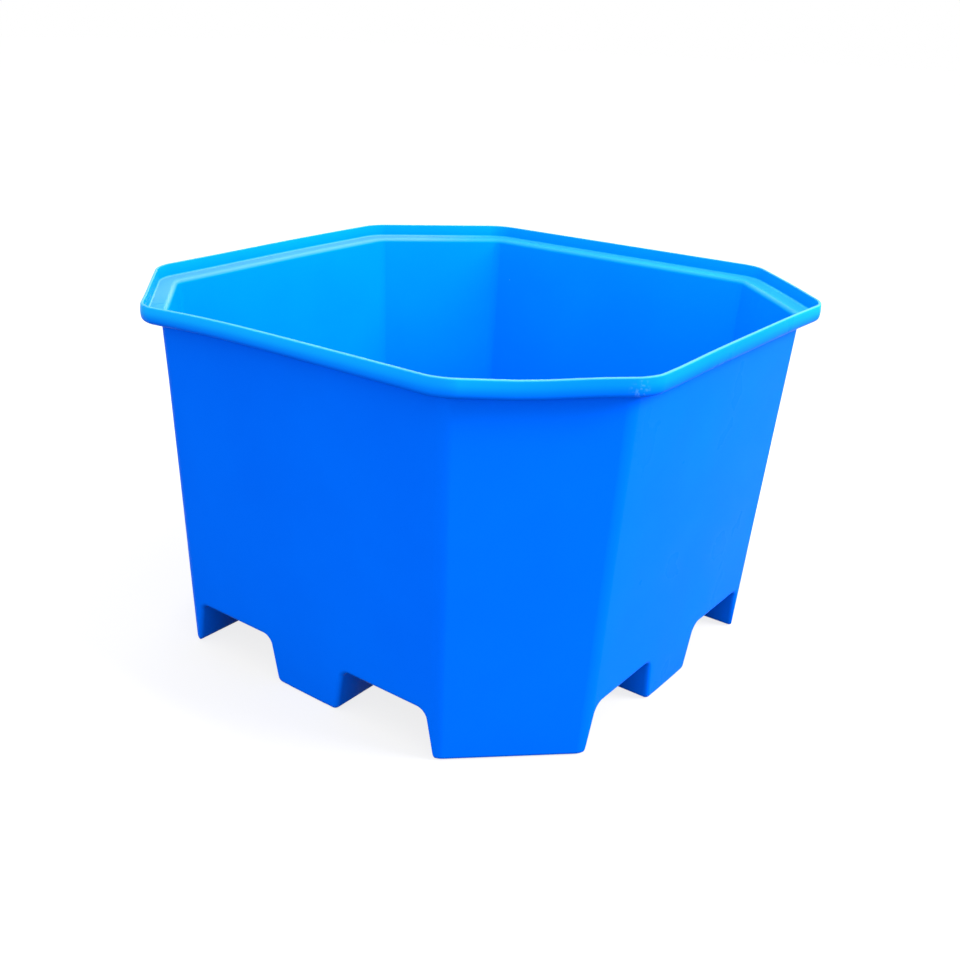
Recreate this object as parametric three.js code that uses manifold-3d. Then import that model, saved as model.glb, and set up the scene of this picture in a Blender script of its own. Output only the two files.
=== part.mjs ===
// Plastic pallet box, rotationally moulded as one piece.
// An eight-sided tub stands on nine hollow feet. Two pairs of channels cross between the feet,
// so truck forks enter from all four sides. The wall turns out into a ledge under the brim,
// then up into a thin upstand, and it keeps one thickness all over.
// Millimetres, +Z up. The origin is the middle of the footprint, on the floor.

import * as THREE from 'three';
import { mergeVertices } from 'three/addons/utils/BufferGeometryUtils.js';
import Module from 'manifold-3d';

// Overall size
const RIM_WIDTH = 1190; // across the long sides, over the brim
const CORNER_CUT = 241; // leg of the cut corner, along each long side of the brim
const HEIGHT = 750;

// Moulded skin
const WALL = 7;
const DRAFT_DEG = 3.05; // lean of the tub wall
const RIM_CORNER_RADIUS = 80; // plan radius between two sides of the brim
const BODY_CORNER_RADIUS = 38; // plan radius between two sides of the tub

// Brim
const RIM_OVERHANG = 39; // from the brim's outer face in to the tub wall, just under the ledge
const UPSTAND_HEIGHT = 28; // from the ledge up to the top of the brim
const LEDGE_BEND_RADIUS = 4; // under the ledge, where it meets the tub wall
const RIM_EDGE_RADIUS = 11; // outer lower edge of the brim
const LIP_RADIUS = 3; // each edge of the brim's top

// Feet and fork channels
const CHANNEL_HEIGHT = 98;
const CHANNEL_WIDTH = 198; // across the channel's roof, before its corners are rounded
const CHANNEL_OFFSET = 197; // from the box's centre line to the channel's centre line
const CHANNEL_DRAFT_DEG = 10.5; // flare of the channel's sides
const CHANNEL_ROOF_RADIUS = 20;
const FOOT_EDGE_RADIUS = 14; // where a channel's side turns under the foot
const BASE_EDGE_RADIUS = 10; // where the tub wall turns under the feet and into the channels

// Fineness of the rounded places
const CORNER_STEPS = 3; // half the number of facets in each plan corner
const BEND_STEPS = 2; // half the number of facets in each bend of the skin
const MOUTH_STEPS = 3; // facets in the rounding of a channel's mouth
const MOUTH_OVERRUN = 0.5; // how far that rounding runs on past the tub wall
const TIGHTEST_BEND = 0.5; // least radius where one bend runs out inside another
const CUT_MARGIN = 30; // how far a cutting solid runs past what it cuts

// Plastic
const BOX_BLUE = 0x0070fa;
const ROUGHNESS = 0.42;

const SIDES = 8;
const TURN = (2 * Math.PI) / SIDES;
const DRAFT = THREE.MathUtils.degToRad(DRAFT_DEG);
const CHANNEL_DRAFT = THREE.MathUtils.degToRad(CHANNEL_DRAFT_DEG);
const UNDER_LEDGE = HEIGHT - UPSTAND_HEIGHT - WALL;

const wasm = await Module();
wasm.setup();

// A path through corners given as { x, y, radius }. Each corner with a radius gets a tangent arc.
function filletedPath(corners) {
  const path = new THREE.Path();
  path.moveTo(corners[0].x, corners[0].y);
  for (let i = 1; i < corners.length - 1; i += 1) {
    const corner = new THREE.Vector2(corners[i].x, corners[i].y);
    const back = new THREE.Vector2(corners[i - 1].x, corners[i - 1].y).sub(corner).normalize();
    const ahead = new THREE.Vector2(corners[i + 1].x, corners[i + 1].y).sub(corner).normalize();
    const half = Math.acos(THREE.MathUtils.clamp(back.dot(ahead), -1, 1)) / 2;
    const radius = corners[i].radius;
    const start = corner.clone().addScaledVector(back, radius / Math.tan(half));
    const end = corner.clone().addScaledVector(ahead, radius / Math.tan(half));
    const middle = back.clone().add(ahead).normalize().multiplyScalar(radius / Math.sin(half));
    const centre = corner.clone().add(middle);
    const clockwise = back.cross(ahead) > 0;
    const from = start.sub(centre).angle();
    const to = end.sub(centre).angle();
    path.absarc(centre.x, centre.y, radius, from, to, clockwise);
  }
  const last = corners[corners.length - 1];
  path.lineTo(last.x, last.y);
  return path;
}

// Plan outline of the box, this far inside the brim's outer face: eight sides, rounded between.
function planOutline(inset, radius) {
  const reaches = [RIM_WIDTH / 2, (RIM_WIDTH - CORNER_CUT) / Math.SQRT2];
  const outline = new THREE.Path();
  for (let side = 0; side < SIDES; side += 1) {
    const reach = reaches[side % 2] - inset - radius;
    const nextReach = reaches[(side + 1) % 2] - inset - radius;
    const angle = side * TURN;
    const along = (nextReach - reach * Math.cos(TURN)) / Math.sin(TURN);
    const x = reach * Math.cos(angle) - along * Math.sin(angle);
    const y = reach * Math.sin(angle) + along * Math.cos(angle);
    outline.absarc(x, y, radius, angle, angle + TURN, false);
  }
  return outline.getPoints(CORNER_STEPS);
}

// Inset of the leaning tub wall at height z, this deep into its thickness.
function wallInset(z, depth) {
  return RIM_OVERHANG + (UNDER_LEDGE - z) * Math.tan(DRAFT) + depth / Math.cos(DRAFT);
}

// Plan corner radius of the skin, this deep into its thickness: wide at the brim, tighter below.
function cornerRadius(inset, depth) {
  const down = THREE.MathUtils.clamp((inset - depth) / RIM_OVERHANG, 0, 1);
  return THREE.MathUtils.lerp(RIM_CORNER_RADIUS, BODY_CORNER_RADIUS, down) - depth;
}

// Upright profile of the tub, as x = inset from the brim's outer face and y = height.
// The depth is 0 for the outer skin and WALL for the inner one.
function skinProfile(depth, top) {
  const ledge = UNDER_LEDGE + depth;
  const bottomInset = wallInset(depth, depth);
  const profile = filletedPath([
    { x: bottomInset + CUT_MARGIN, y: depth },
    { x: bottomInset, y: depth, radius: Math.max(BASE_EDGE_RADIUS - depth, TIGHTEST_BEND) },
    { x: wallInset(ledge, depth), y: ledge, radius: LEDGE_BEND_RADIUS + depth },
    { x: depth, y: ledge, radius: RIM_EDGE_RADIUS - depth },
    { x: depth, y: HEIGHT, radius: LIP_RADIUS },
    top,
  ]);
  return profile.getPoints(BEND_STEPS);
}

// A closed geometry as a solid that can be joined and cut.
function toSolid(geometry) {
  geometry.deleteAttribute('normal');
  geometry.deleteAttribute('uv');
  const merged = mergeVertices(geometry, 1e-4);
  return new wasm.Manifold(new wasm.Mesh({
    numProp: 3,
    vertProperties: new Float32Array(merged.attributes.position.array),
    triVerts: new Uint32Array(merged.index.array),
  }));
}

// Loft through outlines of like point counts. Each outline is flat, and place puts its points in
// space. The outlines turn anticlockwise as seen from the end that the loft runs towards.
function loft(outlines, place) {
  const count = outlines[0].length;
  const last = outlines.length - 1;
  const positions = [];
  const indices = [];
  outlines.forEach((outline, level) => {
    outline.forEach((point) => positions.push(...place(point, level)));
  });
  for (let level = 0; level < last; level += 1) {
    for (let i = 0; i < count; i += 1) {
      const low = level * count + i;
      const lowNext = level * count + ((i + 1) % count);
      indices.push(low, lowNext, lowNext + count);
      indices.push(low, lowNext + count, low + count);
    }
  }
  THREE.ShapeUtils.triangulateShape(outlines[0], []).forEach(([a, b, c]) => {
    indices.push(c, b, a);
  });
  THREE.ShapeUtils.triangulateShape(outlines[last], []).forEach(([a, b, c]) => {
    indices.push(last * count + a, last * count + b, last * count + c);
  });
  const geometry = new THREE.BufferGeometry();
  geometry.setAttribute('position', new THREE.Float32BufferAttribute(positions, 3));
  geometry.setIndex(indices);
  return geometry;
}

// Solid inside one skin: the plan outlines of its profile, lofted upwards.
function skinForm(profile, depth) {
  const outlines = profile.map((point) => planOutline(point.x, cornerRadius(point.x, depth)));
  return toSolid(loft(outlines, (point, level) => [point.x, point.y, profile[level].y]));
}

// Section across one fork channel, centred on x = 0, with its roof and flared sides grown by the
// depth. The foot edges turn level at that depth above the floor.
function channelSection(depth) {
  const roof = CHANNEL_HEIGHT + depth;
  const roofHalf = CHANNEL_WIDTH / 2 + depth * (1 / Math.cos(CHANNEL_DRAFT) - Math.tan(CHANNEL_DRAFT));
  const footHalf = roofHalf + (roof - depth) * Math.tan(CHANNEL_DRAFT);
  const outerHalf = footHalf + CUT_MARGIN;
  const side = filletedPath([
    { x: outerHalf, y: depth },
    { x: footHalf, y: depth, radius: Math.max(FOOT_EDGE_RADIUS - depth, TIGHTEST_BEND) },
    { x: roofHalf, y: roof, radius: CHANNEL_ROOF_RADIUS + depth },
    { x: 0, y: roof },
  ]);
  const right = side.getPoints(BEND_STEPS).slice(1, -1);
  const left = right.map((point) => new THREE.Vector2(-point.x, point.y)).reverse();
  return [
    new THREE.Vector2(right[0].x, -CUT_MARGIN),
    ...right,
    ...left,
    new THREE.Vector2(-right[0].x, -CUT_MARGIN),
  ];
}

// Rounding of a channel's mouth in steps, from the plain channel out to just past the tub wall:
// how far each step lies inside the wall, and how much the section has grown there.
function mouthSteps(depth) {
  const radius = Math.max(BASE_EDGE_RADIUS - depth, TIGHTEST_BEND);
  const steps = [];
  for (let i = 0; i < MOUTH_STEPS; i += 1) {
    const angle = (i * Math.PI) / (2 * MOUTH_STEPS);
    steps.push({ inside: radius * (1 - Math.sin(angle)), growth: radius * (1 - Math.cos(angle)) });
  }
  const last = steps[MOUTH_STEPS - 1];
  const share = 1 + MOUTH_OVERRUN / last.inside;
  steps.push({ inside: -MOUTH_OVERRUN, growth: last.growth + share * (radius - last.growth) });
  return steps;
}

// One fork channel along Y, through the whole box, as a loft that flares at both mouths.
// Each end follows the leaning tub wall.
function forkChannel(depth) {
  const frontSteps = mouthSteps(depth).map((step) => ({ ...step, side: -1 }));
  const backSteps = mouthSteps(depth).map((step) => ({ ...step, side: 1 }));
  const steps = [...backSteps.reverse(), ...frontSteps];
  const sections = steps.map((step) => channelSection(depth + step.growth));
  return loft(sections, (point, level) => {
    const reach = RIM_WIDTH / 2 - wallInset(point.y, depth + steps[level].inside);
    return [point.x, steps[level].side * reach, point.y];
  });
}

// The four fork channels as one cutting solid: a pair along X and a pair along Y.
function forkChannels(depth) {
  const channels = [];
  for (const turn of [0, Math.PI / 2]) {
    for (const side of [-1, 1]) {
      const channel = forkChannel(depth).translate(side * CHANNEL_OFFSET, 0, 0);
      channels.push(toSolid(channel.rotateZ(turn)));
    }
  }
  return channels.reduce((whole, channel) => whole.add(channel));
}

// The moulded box: its outer form less its inner form, each with the channels pressed up into it.
function palletBox() {
  const outerTop = { x: LIP_RADIUS, y: HEIGHT };
  const outerForm = skinForm(skinProfile(0, outerTop), 0).subtract(forkChannels(0));
  const innerTop = { x: WALL - LIP_RADIUS, y: HEIGHT };
  const innerProfile = skinProfile(WALL, innerTop);
  innerProfile.push(new THREE.Vector2(innerTop.x, HEIGHT + CUT_MARGIN));
  const innerForm = skinForm(innerProfile, WALL).subtract(forkChannels(WALL));
  return outerForm.subtract(innerForm);
}

// A solid's faces as a geometry that three.js can show.
function toGeometry(solid) {
  const mesh = solid.getMesh();
  const geometry = new THREE.BufferGeometry();
  geometry.setAttribute('position', new THREE.Float32BufferAttribute(mesh.vertProperties, 3));
  geometry.setIndex(new THREE.BufferAttribute(mesh.triVerts, 1));
  geometry.computeVertexNormals();
  return geometry;
}

const boxPlastic = new THREE.MeshStandardMaterial({
  color: BOX_BLUE,
  roughness: ROUGHNESS,
  metalness: 0,
});

const box = new THREE.Mesh(toGeometry(palletBox()), boxPlastic);
box.name = 'pallet_box';

const part = new THREE.Group();
part.add(box);

export default part;
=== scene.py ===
# Plastic pallet box: one rotationally moulded skin of blue polyethylene, open at the top, standing
# on nine hollow feet. Metres, +Z up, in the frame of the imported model.

import math

import bmesh
import bpy
from mathutils import Matrix, Vector, noise


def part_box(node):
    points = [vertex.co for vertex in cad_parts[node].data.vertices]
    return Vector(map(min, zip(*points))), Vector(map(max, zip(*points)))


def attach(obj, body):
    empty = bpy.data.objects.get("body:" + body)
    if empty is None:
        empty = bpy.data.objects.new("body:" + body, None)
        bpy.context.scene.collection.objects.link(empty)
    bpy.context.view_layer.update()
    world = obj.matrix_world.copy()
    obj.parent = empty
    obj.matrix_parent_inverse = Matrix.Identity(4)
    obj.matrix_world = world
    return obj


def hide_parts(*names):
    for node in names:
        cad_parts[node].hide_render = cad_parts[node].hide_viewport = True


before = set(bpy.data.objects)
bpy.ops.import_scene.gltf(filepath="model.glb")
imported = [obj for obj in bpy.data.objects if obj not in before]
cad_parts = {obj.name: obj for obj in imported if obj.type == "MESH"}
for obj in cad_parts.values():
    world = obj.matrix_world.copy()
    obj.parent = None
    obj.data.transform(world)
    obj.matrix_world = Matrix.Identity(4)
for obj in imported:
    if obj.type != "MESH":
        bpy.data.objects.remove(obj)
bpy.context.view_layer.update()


# Moulded skin
# The box is a single moulding: polyethylene powder melts onto the inside of a hot turning mould, so
# the plastic is equally thick in the brim, the walls, the channels and the feet. Its outer and its
# inner form are shaped in the same way here, and the inner one is taken out of the outer one.

box_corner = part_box("pallet_box")[1]
brim_half = box_corner.x
box_height = box_corner.z
wall = 0.007
lean_angle = math.radians(3.05)
wall_lean = math.tan(lean_angle)
wall_slope = math.cos(lean_angle)
corner_leg = 0.241  # what each cut corner takes off two sides of the plan
brim_corner = 0.080  # radius of the brim's corners in plan, and of the tub's below it
tub_corner = 0.038
brim_overhang = 0.039
upstand = 0.028
ledge_underside = box_height - upstand - wall
belly_rise = 0.018  # from the ledge's underside to where the brim's face stands furthest out
edge_tuck = 0.0015  # how far that face draws back at its lower edge, and at the lip
lip_tuck = 0.0014
lip_top_inset = 0.0049
base_bend = 0.010  # radii of the skin's bends, from the feet up to the lip
ledge_bend = 0.004
brim_bend = 0.011
belly_bend = 0.060
lip_bend = 0.0032
inner_lip_bend = 0.0018
bend_facets = 6
brim_bend_facets = 8
wall_heights = (0.12, 0.17, 0.23, 0.29, 0.35, 0.41, 0.47, 0.53, 0.59, 0.64, 0.68)


def wall_inset(height, depth):
    """How far the leaning wall lies inside the brim's outer face, this deep into the skin."""
    return brim_overhang + (ledge_underside - height) * wall_lean + depth / wall_slope


def bend(before, corner, after, radius, facets):
    """Points round one rounded corner of the upright profile, as (inset, height)."""
    corner = Vector(corner)
    back = (Vector(before) - corner).normalized()
    ahead = (Vector(after) - corner).normalized()
    half = back.angle(ahead) / 2
    centre = corner + (back + ahead).normalized() * radius / math.sin(half)
    start = corner + back * radius / math.tan(half) - centre
    end = corner + ahead * radius / math.tan(half) - centre
    return [centre + start.slerp(end, step / facets) * radius for step in range(facets + 1)]


def skin_profile(depth):
    """Upright profile of the skin, from under the feet up to the lip of the brim."""
    outside = depth == 0
    ledge = ledge_underside + depth
    under_box = (brim_half, depth)
    foot = (wall_inset(depth, depth), depth)
    turn_out = (wall_inset(ledge, depth), ledge)
    brim_edge = (depth + (edge_tuck if outside else 0), ledge)
    belly = (depth, ledge_underside + belly_rise)
    lip = (depth + (lip_tuck if outside else 0), box_height)
    lip_top = (lip_top_inset, box_height)
    points = bend(under_box, foot, turn_out, base_bend - depth, bend_facets)
    points += [Vector((wall_inset(height, depth), height)) for height in wall_heights]
    points += bend(foot, turn_out, brim_edge, ledge_bend + depth, bend_facets)
    points += bend(turn_out, brim_edge, belly, brim_bend - depth, brim_bend_facets)
    if outside:
        points += bend(brim_edge, belly, lip, belly_bend, bend_facets)
    points += bend(belly, lip, lip_top, lip_bend if outside else inner_lip_bend, bend_facets)
    return points


def cut_corners(outline, corners, reach, facets):
    """Cuts corners off a flat outline, or rounds them where there are more facets than one."""
    bmesh.ops.bevel(
        outline, geom=corners, offset=reach, offset_type="OFFSET", segments=facets,
        profile=0.5, affect="VERTICES", material=-1, clamp_overlap=False,
    )


plan_corner_facets = 10
long_side_cuts = 12
short_side_cuts = 5


def plan_level(inset, radius, height):
    """One level of the tub: a square, its four corners cut off, then all eight corners rounded."""
    level = bmesh.new()
    bmesh.ops.create_grid(level, x_segments=1, y_segments=1, size=brim_half - inset)
    leg = corner_leg - (2 - math.sqrt(2)) * inset
    cut_corners(level, level.verts[:], leg, 1)
    cut_corners(level, level.verts[:], radius * math.tan(math.pi / 8), plan_corner_facets)
    sides = sorted(level.edges, key=lambda edge: -edge.calc_length())[:8]
    bmesh.ops.subdivide_edges(level, edges=sides[:4], cuts=long_side_cuts)
    bmesh.ops.subdivide_edges(level, edges=sides[4:], cuts=short_side_cuts)
    bmesh.ops.translate(level, vec=(0, 0, height), verts=level.verts[:])
    return level


def loft(name, levels):
    """A closed form through a row of flat levels that have equally many points."""
    form = bmesh.new()
    loops = []
    for level in levels:
        bmesh.ops.delete(level, geom=level.faces[:], context="FACES_ONLY")
        mesh = bpy.data.meshes.new(name)
        level.to_mesh(mesh)
        level.free()
        form.from_mesh(mesh)
        form.edges.ensure_lookup_table()
        loops.append(form.edges[-len(mesh.edges):])
        bpy.data.meshes.remove(mesh)
    for low, high in zip(loops, loops[1:]):
        bmesh.ops.bridge_loops(form, edges=low + high)
    bmesh.ops.contextual_create(form, geom=loops[0])
    bmesh.ops.contextual_create(form, geom=loops[-1])
    bmesh.ops.recalc_face_normals(form, faces=form.faces[:])
    mesh = bpy.data.meshes.new(name)
    form.to_mesh(mesh)
    form.free()
    shape = bpy.data.objects.new(name, mesh)
    bpy.context.scene.collection.objects.link(shape)
    return shape


mouth_inset = 0.0052  # the inner form leaves the tub just inside the top of the outer lip
mouth_rise = 0.03


def tub_form(name, depth):
    """The whole tub without its channels, this deep into the skin."""
    levels = []
    for point in skin_profile(depth):
        down = min(max((point.x - depth) / brim_overhang, 0), 1)
        radius = brim_corner + (tub_corner - brim_corner) * down - depth
        levels.append(plan_level(point.x, radius, point.y))
    if depth > 0:
        mouth_height = box_height + mouth_rise
        levels.append(plan_level(mouth_inset, brim_corner - mouth_inset, mouth_height))
    return loft(name, levels)


channel_middle = 0.197  # from the middle of the box
channel_height = 0.098
channel_half = 0.099  # across the roof, without its rounding
channel_flare = math.radians(10.5)
roof_bend = 0.020
foot_bend = 0.014
channel_facets = 8
mouth_facets = 6
spare = 0.03  # how far the channel's form runs on past the foot edges and below them
overrun = 0.0003  # how far the mouth's rounding runs on past the wall


def channel_level(depth, end, end_depth):
    """A flat section across one channel, with its roof and foot edges rounded."""
    roof = channel_height + depth
    flare = math.tan(channel_flare)
    roof_half = channel_half + depth * (1 / math.cos(channel_flare) - flare)
    foot_half = roof_half + channel_height * flare
    spare_half = foot_half + spare
    right = ((spare_half, -spare), (spare_half, depth), (foot_half, depth), (roof_half, roof))
    left = tuple((-x, z) for x, z in reversed(right))
    section = bmesh.new()
    corners = [section.verts.new((x, 0, z)) for x, z in right + left]
    section.faces.new(corners)
    foot_edges = [corners[2], corners[5]]
    roof_edges = [corners[3], corners[4]]
    half_turn = math.tan((math.pi / 2 + channel_flare) / 2)
    cut_corners(section, foot_edges, (foot_bend - depth) / half_turn, channel_facets)
    cut_corners(section, roof_edges, (roof_bend + depth) / half_turn, channel_facets)
    for vert in section.verts:
        vert.co.y = end * (brim_half - wall_inset(vert.co.z, end_depth))
    return section


def channel_form(name, depth, turn, side):
    """One channel right through the box, with a rounded mouth at both ends."""
    radius = base_bend - depth
    steps = []
    for step in range(mouth_facets):
        angle = math.pi / 2 * step / mouth_facets
        steps.append((radius * (1 - math.sin(angle)), radius * (1 - math.cos(angle))))
    last_inside, last_growth = steps[-1]
    further = (1 + overrun / last_inside) * (radius - last_growth)
    steps.append((-overrun, last_growth + further))
    levels = [channel_level(depth + wider, -1, depth + inside) for inside, wider in steps[::-1]]
    levels += [channel_level(depth + wider, 1, depth + inside) for inside, wider in steps]
    channel = loft(name, levels)
    to_side = Matrix.Translation((side * channel_middle, 0, 0))
    channel.data.transform(Matrix.Rotation(turn, 4, "Z") @ to_side)
    return channel


def take_out(form, tool):
    """Takes one closed form out of another."""
    cut = form.modifiers.new("cut", "BOOLEAN")
    cut.operation = "DIFFERENCE"
    cut.solver = "EXACT"
    cut.object = tool


forms = []
channels = []
for depth, name in ((0, "outer_form"), (wall, "inner_form")):
    form = tub_form(name, depth)
    forms.append(form)
    for turn in (0, math.pi / 2):
        for side in (-1, 1):
            channel = channel_form(name + "_channel", depth, turn, side)
            channels.append(channel)
            take_out(form, channel)
outer_form, inner_form = forms
take_out(outer_form, inner_form)
depsgraph = bpy.context.evaluated_depsgraph_get()
skin_mesh = bpy.data.meshes.new_from_object(outer_form.evaluated_get(depsgraph))
for shape in forms + channels:
    bpy.data.objects.remove(shape)

merge_reach = 0.00001
skin = bmesh.new()
skin.from_mesh(skin_mesh)
bmesh.ops.remove_doubles(skin, verts=skin.verts[:], dist=merge_reach)
bmesh.ops.dissolve_degenerate(skin, edges=skin.edges[:], dist=merge_reach)
bmesh.ops.triangulate(skin, faces=[face for face in skin.faces if len(face.verts) > 4])
for face in skin.faces:
    face.smooth = True

# Painted glow: the upstand's colour is made lighter as if light shone through it, less so in a few
# places: each row gives a place in plan, its spread, and the share of that painted glow lost there.
glow_heights = (ledge_underside + 0.001, ledge_underside + 0.035)
dimmer_glow_places = (
    (0.4745, -0.4745, 0.158114, 0.25),
    (0.595, -0.05, 0.374166, 0.62),
)
least_glow = 0.16
glow_lost_on_top = 0.85

# Painted sheen: up-facing faces are paler on the lip and ledge, the ledge more so on the box's
# left.
sheen_tilts = (0.3, 0.8)
lip_depth = 0.01
flat_tilt = 0.96
flat_sheen = 0.7
ledge_sheen_reach = (0.33, 0.48)
least_sheen = 0.25

# The big walls aren't quite even, and the brim has sagged as it cooled: each row gives a place in
# plan, its spread, and how deep the sag is there.
wave_foot_heights = (0.13, 0.23)
wave_top_heights = (0.70, 0.60)
wave_seed = 1
wave_size = 0.0006
waves_per_metre = 4.5
sag_heights = (0.60, 0.71)
sag_places = (
    (-0.42, -0.595, 0.14, 0.0105),
    (-0.595, -0.30, 0.20, 0.005),
    (0.455, -0.494, 0.065, 0.0045),
    (0.595, -0.27, 0.06, 0.002),
    (0.595, 0.354, 0.08, 0.003),
)


def spots_at(point, places):
    """What the soft round spots in some places add up to at a point."""
    return sum(
        amount * math.exp(-((point.x - x) ** 2 + (point.y - y) ** 2) / (2 * spread ** 2))
        for x, y, spread, amount in places
    )


def ramp(value, start, end):
    """0 before the start, 1 past the end, and evenly from one to the other between them."""
    return min(max((value - start) / (end - start), 0), 1)


def eased(share):
    """The same share with a soft start and a soft end."""
    return share * share * (3 - 2 * share)


# Layers that carry the painted glow and the painted sheen
painted_glow = skin.verts.layers.float.new("painted_brim_glow")
painted_sheen = skin.verts.layers.float.new("painted_sheen_edges")
skin.normal_update()
noise.seed_set(wave_seed)
for vert in skin.verts:
    spot = vert.co.copy()
    tilt = vert.normal.z
    outward = vert.normal.dot(Vector((spot.x, spot.y, 0)).normalized())
    # Painted glow on the upstand, standing in for light that shines through the plastic
    light = min(max(outward + 0.5, least_glow), 1) - spots_at(spot, dimmer_glow_places)
    light = max(light, least_glow) * (1 - glow_lost_on_top * max(tilt, 0))
    vert[painted_glow] = eased(ramp(spot.z, *glow_heights)) * light

    # Painted sheen on faces that look up, on the ledge and the lip
    sheen = ramp(tilt, *sheen_tilts) if spot.z > ledge_underside else 0
    if spot.z < box_height - lip_depth:
        to_left = max(ramp(-spot.x, *ledge_sheen_reach), least_sheen)
        sheen *= to_left * (flat_sheen if tilt > flat_tilt else 1)
    vert[painted_sheen] = sheen

    wave_share = ramp(spot.z, *wave_foot_heights) * ramp(spot.z, *wave_top_heights)
    wave = noise.noise_vector(spot * waves_per_metre) * wave_size * wave_share
    sag = spots_at(spot, sag_places) * eased(ramp(spot.z, *sag_heights))
    vert.co += Vector((wave.x, wave.y, -sag))
skin.to_mesh(skin_mesh)
skin.free()
moulded_box = bpy.data.objects.new("moulded_box", skin_mesh)
bpy.context.scene.collection.objects.link(moulded_box)
evened = moulded_box.modifiers.new("evened_shading", "WEIGHTED_NORMAL")
evened.mode = "FACE_AREA"
evened.weight = 50
evened.keep_sharp = True

deep_blue = (0.0, 0.137, 0.96, 1)
bright_blue = (0.0, 0.147, 0.99, 1)
# Colour of the painted glow on the upstand, in place of light shining through it
painted_glow_blue = (0.006, 0.46, 1.0, 1)
# Tint added for the painted sheen on the lip and ledge
sheen_tint = (0.045, 0.02, 0.0, 1)
mark_blue = (0.25, 0.62, 1.0, 1)
mark_strength = 0.2
speck_radius = 0.022  # in cells of the speck pattern, and the share of cells that stay clean
clean_cells = 0.8
rub_place = (0.584, -0.374, 0.727)

polyethylene = bpy.data.materials.new("blue_polyethylene")
polyethylene.use_nodes = True
plastic = polyethylene.node_tree
surface = plastic.nodes["Principled BSDF"]
surface.inputs["Specular IOR Level"].default_value = 0.004
place = plastic.nodes.new("ShaderNodeTexCoord").outputs["Object"]


def feed(tree, socket, value):
    """Links an output to an input, or sets a plain number or colour on it."""
    if isinstance(value, bpy.types.NodeSocket):
        tree.links.new(value, socket)
    else:
        socket.default_value = value


def worked_out(tree, operation, first, second):
    """What a Math node makes of two values."""
    step = tree.nodes.new("ShaderNodeMath")
    step.operation = operation
    feed(tree, step.inputs[0], first)
    feed(tree, step.inputs[1], second)
    return step.outputs["Value"]


def colour_between(tree, share, first, second, way="MIX"):
    """Goes from the first colour to the second, or adds the second to the first."""
    mix = tree.nodes.new("ShaderNodeMix")
    mix.data_type = "RGBA"
    mix.blend_type = way
    feed(tree, mix.inputs["Factor"], share)
    feed(tree, mix.inputs["A"], first)
    feed(tree, mix.inputs["B"], second)
    return mix.outputs["Result"]


def cloudiness(scale, detail):
    """A noise pattern that is fixed to the plastic."""
    pattern = plastic.nodes.new("ShaderNodeTexNoise")
    pattern.inputs["Scale"].default_value = scale
    pattern.inputs["Detail"].default_value = detail
    plastic.links.new(place, pattern.inputs["Vector"])
    return pattern.outputs["Fac"]


def stretched(value, start, end, low=0.0, high=1.0):
    """A value's stretch from start to end, turned into one from low to high."""
    stretch = plastic.nodes.new("ShaderNodeMapRange")
    stretch.inputs["From Min"].default_value = start
    stretch.inputs["From Max"].default_value = end
    stretch.inputs["To Min"].default_value = low
    stretch.inputs["To Max"].default_value = high
    plastic.links.new(value, stretch.inputs["Value"])
    return stretch.outputs["Result"]


def painted(attribute_name):
    """A value that the mesh carries at its points."""
    attribute = plastic.nodes.new("ShaderNodeAttribute")
    attribute.attribute_name = attribute_name
    return attribute.outputs["Fac"]


# Colour: faint mottling, painted glow on the upstand, and painted sheen on the lip and ledge
mottle = plastic.nodes.new("ShaderNodeValToRGB")
mottle.color_ramp.elements[0].position = 0.3
mottle.color_ramp.elements[0].color = deep_blue
mottle.color_ramp.elements[1].position = 0.7
mottle.color_ramp.elements[1].color = bright_blue
plastic.links.new(cloudiness(scale=5.0, detail=3.0), mottle.inputs["Fac"])
colour = colour_between(
    plastic, painted("painted_brim_glow"), mottle.outputs["Color"], painted_glow_blue
)
colour = colour_between(plastic, painted("painted_sheen_edges"), colour, sheen_tint, "ADD")

# Marks: a few tiny specks all over, and a small rub on the brim at its near right corner
speck_cells = plastic.nodes.new("ShaderNodeTexVoronoi")
speck_cells.inputs["Scale"].default_value = 14.0
plastic.links.new(place, speck_cells.inputs["Vector"])
speck_draw = plastic.nodes.new("ShaderNodeSeparateColor")
plastic.links.new(speck_cells.outputs["Color"], speck_draw.inputs["Color"])
speck_near = worked_out(plastic, "LESS_THAN", speck_cells.outputs["Distance"], speck_radius)
speck_drawn = worked_out(plastic, "GREATER_THAN", speck_draw.outputs["Red"], clean_cells)
specks = worked_out(plastic, "MULTIPLY", speck_near, speck_drawn)
rub_distance = plastic.nodes.new("ShaderNodeVectorMath")
rub_distance.operation = "DISTANCE"
rub_distance.inputs[1].default_value = rub_place
plastic.links.new(place, rub_distance.inputs[0])
rub_near = stretched(rub_distance.outputs["Value"], start=0.024, end=0.004)
rub_scratches = stretched(cloudiness(scale=170.0, detail=5.0), start=0.5, end=0.62)
rub = worked_out(plastic, "MULTIPLY", rub_near, rub_scratches)
marks = worked_out(plastic, "MAXIMUM", specks, rub)
mark_share = worked_out(plastic, "MULTIPLY", marks, mark_strength)
colour = colour_between(plastic, mark_share, colour, mark_blue)
plastic.links.new(colour, surface.inputs["Base Color"])

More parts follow.
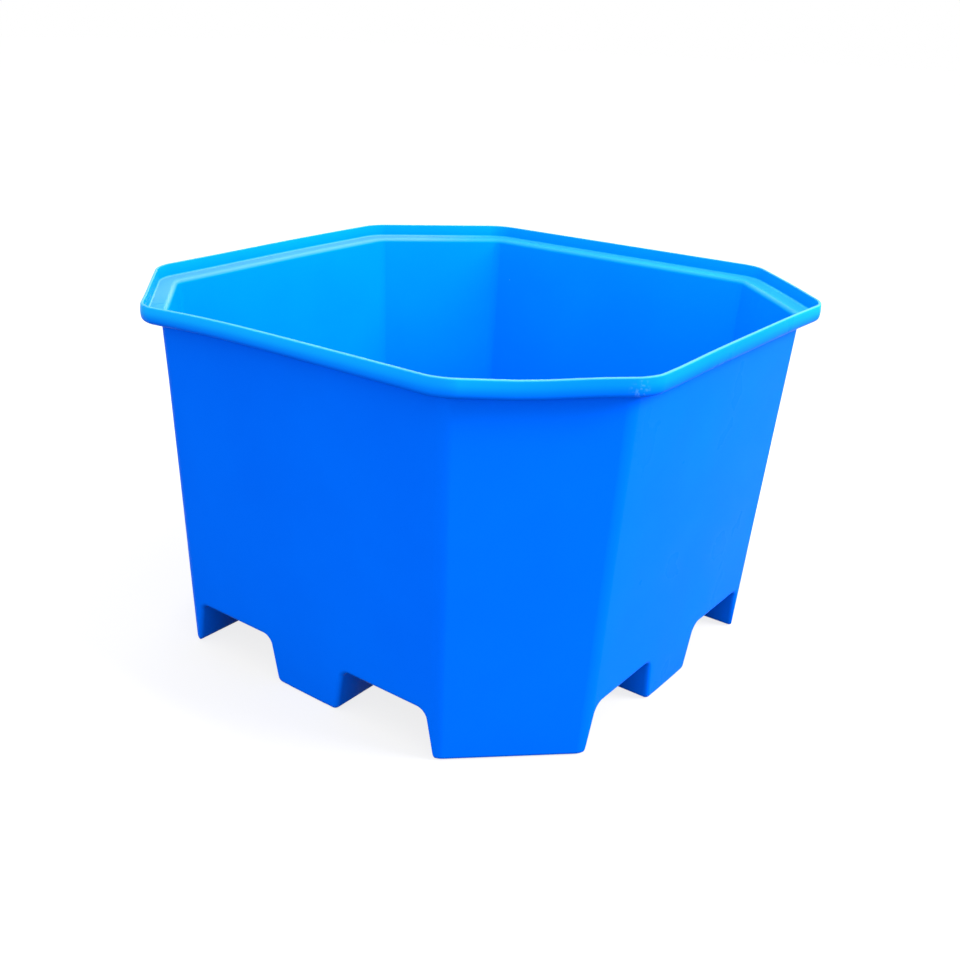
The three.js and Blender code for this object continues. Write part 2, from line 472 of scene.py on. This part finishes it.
# Gloss: uneven, duller where the plastic is marked, and broken up by a fine grain
gloss_clouds = cloudiness(scale=9.0, detail=4.0)
gloss = stretched(gloss_clouds, start=0.3, end=0.7, low=0.26, high=0.34)
roughness = worked_out(plastic, "ADD", gloss, mark_share)
plastic.links.new(roughness, surface.inputs["Roughness"])
grain = plastic.nodes.new("ShaderNodeBump")
grain.inputs["Strength"].default_value = 0.4
grain.inputs["Distance"].default_value = 0.00005
plastic.links.new(cloudiness(scale=90.0, detail=2.0), grain.inputs["Height"])
plastic.links.new(grain.outputs["Normal"], surface.inputs["Normal"])

moulded_box.data.materials.clear()
moulded_box.data.materials.append(polyethylene)
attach(moulded_box, "root")
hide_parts("pallet_box")


# Floor
# A plain matt sheet that runs far past the box. It looks close to pure white, with the box's soft
# shadow on it, but it throws no more light up at the box than a grey sheet does.

floor_half = 40
floor_grey = (0.12, 0.12, 0.12, 1)
floor_white = (0.85, 0.85, 0.85, 1)
floor_glow_share = 0.8


def seen_directly(tree):
    """1 where a surface is seen itself, in a reflection or through glass, and otherwise 0."""
    path = tree.nodes.new("ShaderNodeLightPath").outputs
    seen = worked_out(tree, "MAXIMUM", path["Is Camera Ray"], path["Is Glossy Ray"])
    return worked_out(tree, "MAXIMUM", seen, path["Is Transmission Ray"])


def shader_between(tree, share, first, second):
    """Goes from the first shader to the second."""
    mix = tree.nodes.new("ShaderNodeMixShader")
    for socket, value in zip(mix.inputs, (share, first, second)):
        tree.links.new(value, socket)
    return mix.outputs["Shader"]


floor_grid = bmesh.new()
bmesh.ops.create_grid(floor_grid, x_segments=1, y_segments=1, size=floor_half)
floor_mesh = bpy.data.meshes.new("floor")
floor_grid.to_mesh(floor_mesh)
floor_grid.free()
floor = bpy.data.objects.new("floor", floor_mesh)
bpy.context.scene.collection.objects.link(floor)
floor_paint = bpy.data.materials.new("floor_paint")
floor_paint.use_nodes = True
paint = floor_paint.node_tree
matt = paint.nodes["Principled BSDF"]
matt.inputs["Roughness"].default_value = 1.0
matt.inputs["Specular IOR Level"].default_value = 0.0
floor_seen = seen_directly(paint)
floor_colour = colour_between(paint, floor_seen, floor_grey, floor_white)
paint.links.new(floor_colour, matt.inputs["Base Color"])
glow = paint.nodes.new("ShaderNodeEmission")
glow.inputs["Strength"].default_value = 1.0
glow_share = worked_out(paint, "MULTIPLY", floor_seen, floor_glow_share)
finish = shader_between(paint, glow_share, matt.outputs["BSDF"], glow.outputs["Emission"])
paint.links.new(finish, paint.nodes["Material Output"].inputs["Surface"])
floor.data.materials.append(floor_paint)


# Light
# Soft light from all round, which looks plain white behind the box, and four round lamps: high on
# the right, above the open tub to light its inside, in front, and behind on the left.

world = bpy.data.worlds.new("studio")
world.use_nodes = True
bpy.context.scene.world = world
air = world.node_tree
sky = air.nodes["Background"]
sky.inputs["Color"].default_value = (1, 1, 1, 1)
sky.inputs["Strength"].default_value = 1.2
backdrop = air.nodes.new("ShaderNodeBackground")
backdrop.inputs["Color"].default_value = (1, 1, 1, 1)
backdrop.inputs["Strength"].default_value = 1.0
all_round = shader_between(
    air, seen_directly(air), sky.outputs["Background"], backdrop.outputs["Background"]
)
air.links.new(all_round, air.nodes["World Output"].inputs["Surface"])

lamp_aim = Vector((0, 0, 0.45))
lamps = (  # name, place, width, and power in watts
    ("right_lamp", (4.0, 1.6, 3.0), 2.4, 340),
    ("top_lamp", (0.35, 0.0, 2.6), 0.8, 115),
    ("front_lamp", (1.4, -4.2, 1.3), 2.4, 45),
    ("back_lamp", (-3.0, 3.6, 2.4), 2.4, 120),
)
for name, spot, width, power in lamps:
    lamp = bpy.data.lights.new(name, "AREA")
    lamp.shape = "DISK"
    lamp.size = width
    lamp.energy = power
    holder = bpy.data.objects.new(name, lamp)
    holder.location = spot
    holder.rotation_euler = (Vector(spot) - lamp_aim).to_track_quat("Z", "Y").to_euler()
    holder.visible_camera = False
    bpy.context.scene.collection.objects.link(holder)


# Camera
# It looks down at the cut corner between the front and the right, rolled a little to one side. Its
# distances are in units of which the brim measures 1200 across, and the rest is in pixels.

view_turn = math.radians(38.59)
view_rise = math.radians(22.17)
view_roll = math.radians(1.65)
unit = brim_half / 600
aim_left = 135.63
aim_height = 310.14
aim_distance = 2535.4
picture = 960
focal_length = 1138.73
sight_x = 407.73  # where the line of sight meets the picture
sight_y = 478
sensor = 36  # millimetres

back = Vector((
    math.sin(view_turn) * math.cos(view_rise),
    -math.cos(view_turn) * math.cos(view_rise),
    math.sin(view_rise),
))
level_right = Vector((math.cos(view_turn), math.sin(view_turn), 0))
level_up = back.cross(level_right)
right = level_right * math.cos(view_roll) + level_up * math.sin(view_roll)
up = level_up * math.cos(view_roll) - level_right * math.sin(view_roll)
aim = (Vector((0, 0, aim_height)) - level_right * aim_left) * unit
turned = Matrix((right, up, back)).transposed().to_4x4()
camera = bpy.data.objects.new("camera", bpy.data.cameras.new("camera"))
camera.matrix_world = Matrix.Translation(aim + back * aim_distance * unit) @ turned
camera.data.sensor_width = sensor
camera.data.lens = sensor * focal_length / picture
camera.data.shift_x = (picture / 2 - sight_x) / picture
camera.data.shift_y = (sight_y - picture / 2) / picture
bpy.context.scene.collection.objects.link(camera)
bpy.context.scene.camera = camera
bpy.context.scene.view_settings.view_transform = "Standard"
